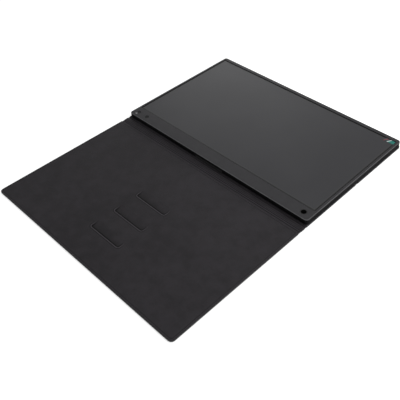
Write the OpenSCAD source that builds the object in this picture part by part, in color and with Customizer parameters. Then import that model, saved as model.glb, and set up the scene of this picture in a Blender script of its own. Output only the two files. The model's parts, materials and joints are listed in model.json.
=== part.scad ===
// Portable monitor lying on its open folio cover.
// X runs left to right along the screen, Y from the cover's free edge to the monitor's top edge,
// and Z up out of the screen. The origin is the middle of the footprint, on the table.

/* [Monitor case] */
// Width of the border left and right of the window
side_border = 4; // [3:0.5:8]
// Height of the border above the window
top_border = 6.9; // [6:0.1:10]
// Height of the chin below the window
chin_h = 21.5; // [20.5:0.5:24]
// Thickness of the case
monitor_t = 8.4; // [8.2:0.1:11]
// Corner radius of the case, seen from the front
case_corner_r = 5; // [3:0.5:8]
// Chamfer around the front and back of the case
case_chamfer = 0.7; // [0.3:0.1:1]
// Thickness of the case's side walls
side_wall = 1.4; // [1:0.1:1.6]
// Thickness of the case's back plate
back_wall = 1; // [0.9:0.1:1.4]
// Thickness of the bezel's face
face_wall = 0.8; // [0.7:0.1:1.2]
// Depth of the bezel's side wall below its face
bezel_depth = 3.4; // [2.6:0.1:3.6]
// Height of the lip that centres the bezel on the back shell
lip_h = 1.2; // [0.6:0.1:1.6]

/* [Screen] */
// Width of the window in the bezel
window_w = 350; // [320:1:380]
// Height of the window in the bezel
window_h = 199.6; // [180:0.2:220]
// How far the panel reaches under the bezel on each side
panel_lap = 1; // [0.6:0.1:1.2]
// Height of the panel's driver margin, hidden below the window
panel_margin = 4.5; // [3:0.5:5]
// Thickness of the anti-glare sheet
polarizer_t = 0.2; // [0.1:0.05:0.3]
// Thickness of the liquid crystal cell
cell_t = 0.9; // [0.7:0.1:1.1]
// Thickness of the optical film stack
films_t = 0.3; // [0.2:0.05:0.4]
// Thickness of the light guide
guide_t = 0.7; // [0.5:0.1:0.8]
// Thickness of the reflector
reflector_t = 0.2; // [0.1:0.05:0.3]
// Thickness of the panel's metal tray
tray_t = 0.3; // [0.2:0.1:0.5]
// Thickness of the foam tape under the panel
tape_t = 0.5; // [0.3:0.1:0.8]
// Spacing of the backlight's lamps
lamp_pitch = 12; // [8:1:20]

/* [Controls] */
// Radius of a button cap
button_r = 3.2; // [2.5:0.1:3.5]
// Travel of a button
button_travel = 0.5; // [0.3:0.1:0.6]
// Height of the buttons' centres above the foot edge
button_y = 10.5; // [9:0.5:11]
// Distance of the power button from the case's left edge
power_button_inset = 11.5; // [10:0.5:13]
// Distance between the two buttons
button_spacing = 19; // [16:0.5:24]
// Radius of the status light
light_r = 0.6; // [0.4:0.1:0.8]

/* [Pen hole] */
// Radius of the hole in the lower right corner
pen_hole_r = 4.1; // [3.5:0.1:4.3]
// Wall of the sleeve that lines the hole
sleeve_wall = 0.7; // [0.5:0.1:0.8]
// Distance of the hole's centre from the case's right edge
pen_hole_inset = 14; // [11:0.5:20]
// Distance of the hole's centre from the foot edge
pen_hole_y = 11; // [8:0.5:11]

/* [Boards and socket] */
// Width of the main board
main_board_w = 72; // [60:1:90]
// Length of the main board, up the screen
main_board_l = 62; // [50:1:80]
// Thickness of the boards
board_t = 1; // [0.8:0.1:1.2]
// Height of the boards' standoffs
standoff_h = 0.8; // [0.6:0.1:1]
// Width of the socket's metal shell
socket_w = 8.9; // [8.9:0.1:9.5]
// Height of the socket's metal shell
socket_h = 3.2; // [3.2:0.05:3.3]
// Depth of the socket
socket_l = 7.4; // [6.5:0.1:9]
// Distance of the socket's centre from the foot edge
socket_y = 40; // [36:1:60]

/* [Fasteners] */
// Radius of a case screw's shank
screw_r = 0.8; // [0.7:0.1:0.9]
// Radius of a case screw's head
screw_head_r = 1.5; // [1.3:0.1:1.6]
// Thickness of a case screw's head
screw_head_h = 0.6; // [0.4:0.1:0.7]
// Wall of the screw bosses
boss_wall = 1.1; // [0.9:0.1:1.2]

/* [Cover] */
// How far the cover stands out past the monitor's sides
cover_side_lap = 1; // [1:0.5:4]
// How far the closed cover's free edge stays short of the monitor's top edge
cover_short = 1.8; // [0:0.1:3]
// Gap between the closed cover and the screen
closed_gap = 0.4; // [0.3:0.1:1]
// How far the cover stands out past the monitor's top edge
cover_top_lap = 1; // [0:0.5:3]
// Corner radius of the cover
cover_corner_r = 6; // [4:0.5:12]
// Thickness of the outer skin
skin_t = 0.8; // [0.6:0.1:1]
// Thickness of the stiffener boards
stiffener_t = 1.3; // [1.3:0.1:1.8]
// Thickness of the inner lining
lining_t = 0.8; // [0.6:0.1:1]
// Width of the skin's edge that is turned up round the stiffener
turned_edge = 1; // [0.8:0.1:1.6]
// How far the lining stands above the turned edge
lining_proud = 0.2; // [0.1:0.05:0.3]
// Thickness of the bonding sheet between cover and monitor
bond_t = 0.3; // [0.2:0.1:0.5]

/* [Folds] */
// Distance from the foot edge to the fold nearest to it
foot_fold_gap = 2.4; // [2.4:0.1:4]
// Width of the fold next to the monitor
foot_fold_w = 4; // [3.6:0.2:4.4]
// Width of the fold next to the front cover
front_fold_w = 6; // [4.6:0.2:7]
// Width of the fold across the middle of the back
mid_fold_w = 5; // [4.6:0.2:7]
// Distance of the middle fold from the foot edge
mid_fold_y = 114; // [105:1:125]
// Thickness of the leather where it folds
fold_t = 1.2; // [0.9:0.1:1.4]

/* [Stand pockets] */
// Length of a pocket
pocket_l = 57; // [50:1:70]
// Width of a pocket's ramp
pocket_w = 15; // [10:1:20]
// Depth of a pocket at its stop
pocket_depth = 1; // [0.6:0.1:1.1]
// Corner radius of a pocket
pocket_r = 3; // [2:0.5:4]
// Distance of the first pocket's stop from the foot edge
first_pocket = 115.5; // [100:0.5:120]
// Distance between the pockets' stops
pocket_pitch = 40; // [24:1:44]
// Number of pockets
pocket_count = 3; // [1:1:3]

/* [Magnets and foot] */
// Length of a cover magnet
magnet_l = 30; // [16:1:40]
// Thickness of the steel keepers
keeper_t = 0.6; // [0.4:0.1:0.8]
// Radius of the magnets that hold the folding half of the back
disc_r = 5; // [4:0.5:7]
// Length of the rubber foot
foot_l = 54; // [40:1:56]
// How far the rubber foot stands out of the foot edge
foot_proud = 0.8; // [0.4:0.1:0.9]
// Height of the rubber foot
foot_h = 3; // [2:0.1:3.4]

/* [Hidden] */
$fn = 48;
eps = 0.01;
fit_gap = 0.1;

// Sizes of the case
monitor_w = window_w + 2 * side_border;
monitor_h = chin_h + window_h + top_border;

// Heights above the table
cover_t = skin_t + stiffener_t + lining_t;
fold_z = cover_t / 2;
back_z = cover_t + bond_t;
face_z = back_z + monitor_t;
floor_z = back_z + back_wall;
split_z = face_z - bezel_depth;
ceiling_z = face_z - face_wall;
polarizer_z = ceiling_z - polarizer_t;
cell_z = polarizer_z - cell_t;
films_z = cell_z - films_t;
guide_z = films_z - guide_t;
reflector_z = guide_z - reflector_t;
tray_z = reflector_z - tray_t;
rail_z = tray_z - tape_t;
board_z = floor_z + standoff_h;
board_top_z = board_z + board_t;

// Sizes of the cover: the folded spine stands as high as the closed cover's inner face
cover_w = monitor_w + 2 * cover_side_lap;
spine_w = face_z + closed_gap;
front_reach = monitor_h - cover_short + spine_w + 2 * foot_fold_gap;

// Places along Y, from the middle of the footprint
back_reach = monitor_h + cover_top_lap;
foot_y = (front_reach - back_reach) / 2;
free_edge_y = foot_y - front_reach;
cover_top_y = foot_y + back_reach;
mid_axis_y = foot_y + mid_fold_y;
foot_axis_y = foot_y - foot_fold_gap;
front_axis_y = foot_axis_y - spine_w;

// The panel and what holds it
panel_w = window_w + 2 * panel_lap;
panel_y = foot_y + chin_h - panel_margin;
panel_h = panel_margin + window_h + panel_lap;
inner_w = monitor_w - 2 * side_wall;
inner_h = monitor_h - 2 * side_wall;
tray_wall = 0.4;
tray_play = 0.5;
guide_w = panel_w - 2 * (tray_wall + tray_play);
lamp_row_h = 2.4;
guide_y = panel_y + tray_wall + lamp_row_h;
guide_h = panel_h - 2 * tray_wall - tray_play - lamp_row_h;
rail_w = 3;
tape_inset = 0.3;
tape_end = 10;
tape_l = 130;
tape_x = 40;

// Controls
power_x = -monitor_w / 2 + power_button_inset;
menu_x = power_x + button_spacing;
light_x = (power_x + menu_x) / 2;
cap_gap = 0.15;
cap_flange = 0.6;
cap_flange_h = 0.7;
cap_t = face_wall + cap_flange_h;
cap_rest_gap = 0.05;
plunger_r = 0.9;
switch_w = 4.6;
switch_h = 2;
button_board_z = floor_z + 1;
switch_z = button_board_z + board_t;
switch_top_z = switch_z + switch_h;
plunger_sink = button_travel + fit_gap;
plunger_h = 1;
button_board_l = 12;

// Pen hole and socket
pen_x = monitor_w / 2 - pen_hole_inset;
sleeve_r = pen_hole_r + sleeve_wall;
seat_wall = 0.8;
socket_x = -monitor_w / 2 + 0.3;
socket_z = floor_z + socket_h / 2 + fit_gap;
socket_shell_t = 0.3;
socket_back_t = 0.6;
tongue_inset = 1;
tongue_h = 0.7;

// Boards
main_board_x = -inner_w / 2 + 1.2;
main_board_y = foot_y + 24;
main_board_right = main_board_x + main_board_w;
chip_h = 1;
can_w = 26;
can_l = 14;
can_wall = 0.2;
can_offset_x = 38;
can_offset_y = 24;
flex_w = 14;
flex_t = 0.3;
flex_x = main_board_right - flex_w / 2 - 5;
button_flex_w = 6;
driver_board_w = 250;
driver_board_h = 7;
driver_board_x = flex_x - flex_w / 2 - 2 + driver_board_w / 2;
// Distances of the driver board's chips from the display ribbon
driver_chip_places = [20, 52, 140, 172, 204];
driver_chip_w = 9;
driver_chip_l = 4;
driver_board_y = foot_y + 7.2;
driver_board_z = floor_z + standoff_h;

// Case screws
boss_r = screw_r + boss_wall;
low_screw_xs = [-120, -40, 40, 120];
top_screw_xs = [-monitor_w / 2 + 29, 0, monitor_w / 2 - 29];
low_screw_y = foot_y + side_wall + boss_r + 0.6;
top_screw_y = foot_y + monitor_h - side_wall - boss_r - fit_gap;
boss_split_z = floor_z + 2.6;
screw_points = concat(
    [for (x = low_screw_xs) [x, low_screw_y]],
    [for (x = top_screw_xs) [x, top_screw_y]]
);
board_screw_points = [
    for (x = [3, main_board_w - 3], y = [3, main_board_l - 3]) [main_board_x + x, main_board_y + y]
];

// Magnets and their keepers
magnet_w = 4;
magnet_t = 0.9;
closure_x = 105;
closure_edge = turned_edge + 0.4 + magnet_w / 2;
keeper_inset = side_wall + 0.9;
keeper_w = top_border - keeper_inset - panel_lap - 0.6;
disc_cup_wall = 1;
disc_offset_y = 62;
disc_x = -main_board_right - disc_r - disc_cup_wall - 1;
disc_y = foot_y + disc_offset_y;
disc_t = 1.6;
back_keeper_w = 12;

// Folding panels of the cover
back_lower_y = foot_axis_y + foot_fold_w / 2;
back_lower_top_y = mid_axis_y - mid_fold_w / 2;
back_upper_y = mid_axis_y + mid_fold_w / 2;
spine_low_y = front_axis_y + front_fold_w / 2;
spine_top_y = foot_axis_y - foot_fold_w / 2;
front_top_y = front_axis_y - front_fold_w / 2;
spine_stiffener_t = stiffener_t - 0.5;

// 2-D outline with rounded corners, its low edge on y
module rounded_outline(w, h, y, r) {
    translate([-w / 2 + r, y]) square([w - 2 * r, h]);
    translate([-w / 2, y + r]) square([w, h - 2 * r]);
    for (x = [-w / 2 + r, w / 2 - r], c = [y + r, y + h - r]) translate([x, c]) circle(r);
}

// Slab of that outline from z upwards
module slab(w, h, t, y, z, r) {
    translate([0, 0, z]) linear_extrude(t) rounded_outline(w, h, y, r);
}

// Plain block centred on X
module block(w, h, t, y, z, x = 0) {
    translate([x - w / 2, y, z]) cube([w, h, t]);
}

// Case outline grown inwards by a margin
module case_slab(t, z, margin) {
    slab(monitor_w - 2 * margin, monitor_h - 2 * margin, t, foot_y + margin, z,
        max(case_corner_r - margin, 0.6));
}

module rod(x, y, z, r, h) {
    translate([x, y, z]) cylinder(r = r, h = h);
}

// Monitor case

module front_bezel() {
    color([0.1, 0.1, 0.105])
    difference() {
        union() {
            difference() {
                hull() {
                    case_slab(bezel_depth - case_chamfer, split_z, 0);
                    case_slab(bezel_depth, split_z, case_chamfer);
                }
                case_slab(ceiling_z - split_z + eps, split_z - eps, side_wall);
            }
            for (p = screw_points)
                rod(p[0], p[1], boss_split_z, boss_r, ceiling_z - boss_split_z + eps);
            // seat that centres the pen hole's sleeve
            rod(pen_x, foot_y + pen_hole_y, split_z, sleeve_r + seat_wall, ceiling_z - split_z + eps);
        }
        block(window_w, window_h, face_wall + 2, foot_y + chin_h, ceiling_z - 1);
        for (p = screw_points) rod(p[0], p[1], boss_split_z - eps, screw_r, ceiling_z - boss_split_z);
        rod(pen_x, foot_y + pen_hole_y, split_z - eps, sleeve_r, bezel_depth + 1);
        for (x = [power_x, menu_x])
            rod(x, foot_y + button_y, ceiling_z - eps, button_r + cap_gap, face_wall + 1);
        rod(light_x, foot_y + button_y, ceiling_z - eps, light_r, face_wall + 1);
    }
}

// Rails that carry the panel, with gaps for the ribbon cables and the socket
module panel_rails() {
    rail_h = rail_z - floor_z + eps;
    cable_gap = 20;
    socket_gap = socket_w + 4;
    difference() {
        block(panel_w, panel_h, rail_h, panel_y, floor_z - eps);
        block(panel_w - 2 * rail_w, panel_h - 2 * rail_w, rail_h + 1, panel_y + rail_w, floor_z - 0.5);
        for (x = [light_x, flex_x])
            block(cable_gap, rail_w + 2, rail_h + 1, panel_y - 1, floor_z, x);
        block(2 * rail_w + 4, main_board_l + 8, rail_h + 1, main_board_y - 4, floor_z, -panel_w / 2);
    }
}

module rear_housing() {
    color([0.13, 0.13, 0.14])
    difference() {
        union() {
            difference() {
                hull() {
                    case_slab(eps, back_z, case_chamfer);
                    case_slab(split_z - back_z - case_chamfer, back_z + case_chamfer, 0);
                }
                case_slab(split_z - floor_z + 1, floor_z, side_wall);
            }
            // lip that stands up inside the bezel's wall
            difference() {
                case_slab(split_z - floor_z + lip_h, floor_z - eps, side_wall + fit_gap);
                case_slab(split_z - floor_z + lip_h + 1, floor_z, side_wall + 0.8);
                for (p = screw_points) rod(p[0], p[1], boss_split_z, boss_r + fit_gap, monitor_t);
            }
            panel_rails();
            for (p = screw_points) rod(p[0], p[1], floor_z - eps, boss_r, boss_split_z - floor_z + eps);
            rod(pen_x, foot_y + pen_hole_y, floor_z - eps, sleeve_r + seat_wall, split_z - floor_z + eps);
            for (p = board_screw_points) rod(p[0], p[1], floor_z - eps, 2, standoff_h + eps);
            for (i = [-1, 0, 1])
                rod(driver_board_x + i * (driver_board_w / 2 - 4), driver_board_y + driver_board_h / 2,
                    floor_z - eps, 1.5, standoff_h + eps);
            for (x = [power_x + 4, menu_x - 4])
                rod(x, foot_y + button_y, floor_z - eps, 1.6, button_board_z - floor_z + eps);
            for (s = [-1, 1])
                difference() {
                    rod(s * disc_x, disc_y, floor_z - eps, disc_r + disc_cup_wall, disc_t);
                    rod(s * disc_x, disc_y, floor_z, disc_r, disc_t + 1);
                }
        }
        for (p = screw_points) {
            rod(p[0], p[1], back_z - 1, screw_r + fit_gap, boss_split_z);
            rod(p[0], p[1], back_z - 1, screw_head_r + fit_gap, 1 + screw_head_h + fit_gap);
        }
        for (p = board_screw_points) rod(p[0], p[1], floor_z, screw_r, standoff_h + 1);
        rod(pen_x, foot_y + pen_hole_y, back_z - 1, sleeve_r, monitor_t);
        socket_solid(fit_gap, 8, -monitor_w / 2 - 4);
        block(foot_l, 0.6 + 1, foot_h, foot_y - 1, foot_z());
    }
}

function foot_z() = back_z + (split_z - back_z - foot_h) / 2;

module pen_hole_sleeve() {
    color([0.05, 0.05, 0.05])
    difference() {
        rod(pen_x, foot_y + pen_hole_y, back_z, sleeve_r, monitor_t);
        rod(pen_x, foot_y + pen_hole_y, back_z - 1, pen_hole_r, monitor_t + 2);
    }
}

module foot_strip() {
    color([0.04, 0.04, 0.04])
    block(foot_l, 0.6 + foot_proud, foot_h, foot_y - foot_proud, foot_z());
}

module case_screws() {
    color("silver")
    for (p = screw_points) {
        rod(p[0], p[1], back_z + 0.05, screw_head_r, screw_head_h);
        rod(p[0], p[1], back_z + 0.05, screw_r, split_z - back_z + lip_h);
    }
}

// Screen panel, from the front to the back

module screen_surface() {
    color([0.25, 0.25, 0.26])
    block(panel_w - 1, window_h + 2 * panel_lap - 0.2, polarizer_t, foot_y + chin_h - panel_lap + 0.1,
        polarizer_z);
}

module lcd_cell() {
    color([0.16, 0.17, 0.19])
    block(panel_w, panel_h, cell_t, panel_y, cell_z);
}

module optical_films() {
    color([0.9, 0.9, 0.88])
    block(guide_w, guide_h, films_t, guide_y, films_z);
}

module light_guide() {
    color([0.8, 0.9, 0.95, 0.6])
    block(guide_w, guide_h, guide_t, guide_y, guide_z);
}

module reflector_sheet() {
    color([0.95, 0.95, 0.95])
    block(guide_w, guide_h, reflector_t, guide_y, reflector_z);
}

module backlight_bar() {
    lamp_h = 0.8;
    strip_t = 0.4;
    lamp_count = floor((guide_w - lamp_pitch) / lamp_pitch);
    color([0.95, 0.9, 0.6]) {
        block(guide_w, lamp_row_h - lamp_h - 0.2, strip_t, panel_y + tray_wall + 0.1, reflector_z);
        for (i = [0 : lamp_count])
            block(3, lamp_row_h - 0.3, strip_t + 0.5, panel_y + tray_wall + 0.1, reflector_z,
                (i - lamp_count / 2) * lamp_pitch);
    }
}

module panel_tray() {
    color([0.7, 0.71, 0.73])
    difference() {
        block(panel_w, panel_h, cell_z - tray_z, panel_y, tray_z);
        block(panel_w - 2 * tray_wall, panel_h - 2 * tray_wall, cell_z - tray_z, panel_y + tray_wall,
            reflector_z);
    }
}

module panel_tapes() {
    tape_w = rail_w - 2 * tape_inset;
    side_y = main_board_y + main_board_l + tape_end;
    color([0.08, 0.08, 0.08]) {
        for (s = [-1, 1])
            block(tape_w, panel_y + panel_h - tape_end - side_y, tape_t, side_y, rail_z,
                s * (panel_w - rail_w) / 2);
        for (y = [panel_y, panel_y + panel_h - rail_w])
            block(tape_l, tape_w, tape_t, y + tape_inset, rail_z, tape_x);
    }
}

// Electronics

module main_board() {
    color([0.05, 0.3, 0.15])
    difference() {
        translate([main_board_x, main_board_y, board_z]) cube([main_board_w, main_board_l, board_t]);
        socket_block(fit_gap);
        for (p = board_screw_points) rod(p[0], p[1], board_z - 1, screw_r + fit_gap, board_t + 2);
    }
}

// Chips as [x, y, width, length] from the main board's corner
main_chips = [
    [24, 12, 14, 14], [46, 14, 12, 9], [26, 48, 9, 9], [62, 46, 6, 8], [62, 30, 6, 5], [45, 52, 9, 4],
];

module main_board_chips() {
    color([0.07, 0.07, 0.08])
    for (c = main_chips)
        translate([main_board_x + c[0] - c[2] / 2, main_board_y + c[1] - c[3] / 2, board_top_z])
            cube([c[2], c[3], chip_h]);
}

module shield_can() {
    can_x = main_board_x + can_offset_x;
    can_y = main_board_y + can_offset_y;
    color([0.75, 0.76, 0.78])
    difference() {
        block(can_w, can_l, chip_h + 0.3, can_y, board_top_z, can_x);
        block(can_w - 2 * can_wall, can_l - 2 * can_wall, chip_h + 0.3, can_y + can_wall,
            board_top_z - can_wall, can_x);
    }
}

// Solid with round sides that the socket fills, its mouth towards -X
module socket_solid(grow, l, x) {
    r = socket_h / 2 + grow;
    half = socket_w / 2 - socket_h / 2;
    middle = foot_y + socket_y;
    for (s = [-1, 1])
        translate([x, middle + s * half, socket_z]) rotate([0, 90, 0]) cylinder(r = r, h = l);
    translate([x, middle - half, socket_z - r]) cube([l, 2 * half, 2 * r]);
}

module socket_block(grow) {
    translate([socket_x, foot_y + socket_y - socket_w / 2 - grow, floor_z])
        cube([socket_l + grow, socket_w + 2 * grow, socket_h + 1]);
}

module socket_shell() {
    color([0.72, 0.72, 0.74])
    difference() {
        socket_solid(0, socket_l, socket_x);
        socket_solid(-socket_shell_t, socket_l - socket_back_t + eps, socket_x - eps);
    }
}

module socket_tongue() {
    tongue_w = socket_w - 2.3;
    color([0.04, 0.04, 0.04])
    translate([socket_x + tongue_inset, foot_y + socket_y - tongue_w / 2, socket_z - tongue_h / 2])
        cube([socket_l - socket_back_t - tongue_inset - eps, tongue_w, tongue_h]);
}

module board_screws() {
    color("silver")
    for (p = board_screw_points) {
        rod(p[0], p[1], board_top_z, screw_head_r, screw_head_h);
        rod(p[0], p[1], floor_z + 0.05, screw_r, board_top_z - floor_z);
    }
}

module driver_board() {
    color([0.05, 0.28, 0.16])
    block(driver_board_w, driver_board_h, board_t, driver_board_y, driver_board_z, driver_board_x);
}

module driver_chips() {
    color([0.07, 0.07, 0.08])
    for (x = driver_chip_places)
        block(driver_chip_w, driver_chip_l, chip_h, driver_board_y + 1.5, driver_board_z + board_t,
            flex_x + x);
}

// Flat ribbon from the main board to the driver board
module display_flex() {
    low = driver_board_y + 2;
    color([0.55, 0.35, 0.12])
    block(flex_w, main_board_y + 5 - low, flex_t, low, board_top_z, flex_x);
}

module button_board() {
    color([0.05, 0.3, 0.15])
    block(menu_x - power_x + button_board_l - 4, button_board_l, board_t, foot_y + button_y - 6,
        button_board_z, light_x);
}

// Ribbon from the button board up to the main board
module button_flex() {
    low = foot_y + button_y + 2.5;
    step_y = foot_y + button_y + 7.5;
    color([0.55, 0.35, 0.12]) {
        block(button_flex_w, step_y - low, flex_t, low, switch_z, light_x);
        block(button_flex_w, flex_t, switch_z - board_top_z + flex_t, step_y - flex_t, board_top_z, light_x);
        block(button_flex_w, main_board_y + 4 - step_y + flex_t, flex_t, step_y - flex_t, board_top_z,
            light_x);
    }
}

module switch_bodies() {
    color([0.2, 0.2, 0.2])
    for (x = [power_x, menu_x])
        difference() {
            block(switch_w, switch_w, switch_h, foot_y + button_y - switch_w / 2, switch_z, x);
            rod(x, foot_y + button_y, switch_top_z - plunger_sink - 0.4, plunger_r + fit_gap, switch_h);
        }
}

// The plunger stands in the switch and carries the button's stem
module plunger(x) {
    stem_low = ceiling_z - cap_rest_gap - cap_flange_h - plunger_h;
    color([0.85, 0.85, 0.8])
    rod(x, foot_y + button_y, switch_top_z - 0.3, plunger_r, stem_low - switch_top_z + 0.3 + plunger_h);
}

module power_plunger() { plunger(power_x); }

module menu_plunger() { plunger(menu_x); }

module button_cap(x) {
    cap_z = ceiling_z - cap_rest_gap - cap_flange_h;
    color([0.08, 0.08, 0.085]) {
        rod(x, foot_y + button_y, cap_z, button_r + cap_flange, cap_flange_h);
        rod(x, foot_y + button_y, cap_z, button_r, face_z - cap_z);
    }
}

module power_button() { button_cap(power_x); }

module menu_button() { button_cap(menu_x); }

module status_led() {
    color([0.9, 0.9, 0.85])
    block(1.6, 0.8, 0.6, foot_y + button_y - 0.4, switch_z, light_x);
}

module light_pipe() {
    color([0.9, 0.92, 0.95])
    rod(light_x, foot_y + button_y, switch_z + 0.6, light_r, face_z - switch_z - 0.6);
}

// Magnets inside the case, and the steel that the closed cover clings to

module back_magnets() {
    color([0.6, 0.6, 0.62])
    for (s = [-1, 1]) rod(s * disc_x, disc_y, floor_z, disc_r - 0.05, disc_t);
}

module closure_keepers() {
    color([0.55, 0.55, 0.57])
    for (s = [-1, 1])
        block(magnet_l, keeper_w, keeper_t, foot_y + monitor_h - keeper_inset - keeper_w,
            ceiling_z - keeper_t, s * closure_x);
}

// Plain coloured label stuck to the screen's upper right corner
module corner_label() {
    label_w = 17;
    label_h = 7;
    label_t = 0.15;
    color([0.1, 0.5, 0.45])
    block(label_w, label_h, label_t, foot_y + chin_h + window_h - label_h - 0.8, ceiling_z,
        window_w / 2 - label_w / 2 - 0.8);
}

// Cover: each rigid panel is an outer skin, a stiffener board and a lining

// Outline of a panel between two edges, rounded at its free corners only
module panel_outline(y0, y1, inset, round_low, round_high) {
    r = cover_corner_r - inset;
    w = cover_w - 2 * inset;
    low = y0 + inset;
    high = y1 - inset;
    difference() {
        translate([-w / 2, low]) square([w, high - low]);
        for (s = [-1, 1], e = [[round_low, low, 1], [round_high, high, -1]])
            if (e[0])
                translate([s * (w / 2 - r), e[1] + e[2] * r])
                    difference() {
                        translate([s > 0 ? 0 : -r - 1, e[2] > 0 ? -r - 1 : 0]) square([r + 1, r + 1]);
                        circle(r);
                    }
    }
}

module panel_slab(y0, y1, inset, z, t, round_low, round_high) {
    translate([0, 0, z]) linear_extrude(t) panel_outline(y0, y1, inset, round_low, round_high);
}

// Skin: a shallow tray whose edge is turned up round the stiffener, lower where it meets a fold
module panel_skin(y0, y1, low_fold, high_fold, rim_z) {
    difference() {
        panel_slab(y0, y1, 0, 0, rim_z, !low_fold, !high_fold);
        panel_slab(y0, y1, turned_edge, skin_t, rim_z, !low_fold, !high_fold);
        if (low_fold) block(cover_w + 2, turned_edge + 1, rim_z, y0 - 1, fold_z);
        if (high_fold) block(cover_w + 2, turned_edge + 1, rim_z, y1 - turned_edge, fold_z);
    }
}

// Lining: a sheet inside the turned edge, with a lip down to the skin along each fold
module panel_lining(y0, y1, low_fold, high_fold, z, t) {
    w = cover_w - 2 * turned_edge;
    panel_slab(y0, y1, turned_edge, z, t, !low_fold, !high_fold);
    if (low_fold) block(w, turned_edge, z + t - fold_z, y0, fold_z);
    if (high_fold) block(w, turned_edge, z + t - fold_z, y1 - turned_edge, fold_z);
}

back_lining_z = skin_t + stiffener_t;
rim_z = cover_t - lining_proud;

module back_upper_skin() {
    color([0.09, 0.09, 0.1]) panel_skin(back_upper_y, cover_top_y, true, false, rim_z);
}

module back_upper_stiffener() {
    color([0.5, 0.42, 0.3])
    panel_slab(back_upper_y, cover_top_y, turned_edge, skin_t, stiffener_t, false, true);
}

module back_upper_lining() {
    color([0.12, 0.12, 0.125])
    panel_lining(back_upper_y, cover_top_y, true, false, back_lining_z, lining_t);
}

module bonding_sheet() {
    bond_margin = 8;
    color([0.7, 0.7, 0.6])
    block(monitor_w - 2 * bond_margin, cover_top_y - back_upper_y - 2 * bond_margin, bond_t,
        back_upper_y + bond_margin, cover_t);
}

module back_lower_skin() {
    color([0.09, 0.09, 0.1])
    panel_skin(back_lower_y, back_lower_top_y, true, true, rim_z);
}

module back_lower_stiffener() {
    color([0.5, 0.42, 0.3])
    difference() {
        panel_slab(back_lower_y, back_lower_top_y, turned_edge, skin_t, stiffener_t, false, false);
        for (s = [-1, 1])
            block(magnet_l, back_keeper_w, stiffener_t, disc_y - back_keeper_w / 2,
                back_lining_z - keeper_t, s * disc_x);
    }
}

module back_lower_lining() {
    color([0.12, 0.12, 0.125])
    panel_lining(back_lower_y, back_lower_top_y, true, true, back_lining_z, lining_t);
}

module back_keepers() {
    color([0.55, 0.55, 0.57])
    for (s = [-1, 1])
        block(magnet_l - 0.2, back_keeper_w - 0.2, keeper_t, disc_y - back_keeper_w / 2 + 0.1,
            back_lining_z - keeper_t, s * disc_x);
}

// The spine is thinner than the panels beside it, and centred on the folds' height
spine_t = skin_t + spine_stiffener_t + lining_t;
spine_z = fold_z - spine_t / 2;

module spine_skin() {
    color([0.09, 0.09, 0.1])
    difference() {
        block(cover_w, spine_top_y - spine_low_y, spine_t - lining_proud, spine_low_y, spine_z);
        block(cover_w - 2 * turned_edge, spine_top_y - spine_low_y - 2 * turned_edge, spine_t,
            spine_low_y + turned_edge, spine_z + skin_t);
        for (y = [spine_low_y - 1, spine_top_y - turned_edge])
            block(cover_w + 2, turned_edge + 1, spine_t, y, fold_z);
    }
}

module spine_stiffener() {
    color([0.5, 0.42, 0.3])
    block(cover_w - 2 * turned_edge, spine_top_y - spine_low_y - 2 * turned_edge, spine_stiffener_t,
        spine_low_y + turned_edge, spine_z + skin_t);
}

module spine_lining() {
    w = cover_w - 2 * turned_edge;
    color([0.12, 0.12, 0.125]) {
        block(w, spine_top_y - spine_low_y - 2 * turned_edge, lining_t, spine_low_y + turned_edge,
            spine_z + skin_t + spine_stiffener_t);
        for (y = [spine_low_y, spine_top_y - turned_edge])
            block(w, turned_edge, spine_z + spine_t - fold_z, y, fold_z);
    }
}

module front_skin() {
    color([0.09, 0.09, 0.1]) panel_skin(free_edge_y, front_top_y, false, true, rim_z);
}

// Wedge under a pocket: full depth at the stop, nothing at the end of the ramp
module pocket_wedge(stop_y, grow, top_z, depth) {
    l = pocket_l + 2 * grow;
    w = pocket_w + 2 * grow;
    intersection() {
        slab(l, w, 4 * depth, stop_y - grow, top_z - 3 * depth, pocket_r + grow);
        translate([-l, stop_y - grow, top_z]) rotate([90, 0, 90])
            linear_extrude(2 * l) polygon([[0, -depth], [w, 0], [w, 1], [0, 1]]);
    }
}

module each_pocket() {
    for (i = [0 : pocket_count - 1]) {
        $stop_y = foot_y - first_pocket - i * pocket_pitch;
        children();
    }
}

module front_stiffener() {
    color([0.5, 0.42, 0.3])
    difference() {
        panel_slab(free_edge_y, front_top_y, turned_edge, skin_t, stiffener_t, true, false);
        each_pocket() pocket_wedge($stop_y, 0.8, back_lining_z, pocket_depth);
        for (s = [-1, 1])
            block(magnet_l, magnet_w, magnet_t + 1, free_edge_y + closure_edge - magnet_w / 2,
                back_lining_z - magnet_t, s * closure_x);
    }
}

module front_lining() {
    color([0.12, 0.12, 0.125])
    difference() {
        union() {
            panel_lining(free_edge_y, front_top_y, false, true, back_lining_z, lining_t);
            each_pocket() intersection() {
                pocket_wedge($stop_y, 0.7, back_lining_z, pocket_depth);
                block(cover_w, pocket_w + 4, pocket_depth + eps, $stop_y - 2, back_lining_z - pocket_depth);
            }
        }
        each_pocket() pocket_wedge($stop_y, 0, cover_t, pocket_depth);
    }
}

module closure_magnets() {
    color([0.6, 0.6, 0.62])
    for (s = [-1, 1])
        block(magnet_l - 0.2, magnet_w - 0.2, magnet_t, free_edge_y + closure_edge - magnet_w / 2 + 0.1,
            back_lining_z - magnet_t, s * closure_x);
}

// Bare leather between two panels, where the cover bends
module fold_strip(axis_y, w) {
    color([0.08, 0.08, 0.085]) block(cover_w, w, fold_t, axis_y - w / 2, fold_z - fold_t / 2);
}

module middle_fold() { fold_strip(mid_axis_y, mid_fold_w); }

module foot_fold() { fold_strip(foot_axis_y, foot_fold_w); }

module front_fold() { fold_strip(front_axis_y, front_fold_w); }

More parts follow.
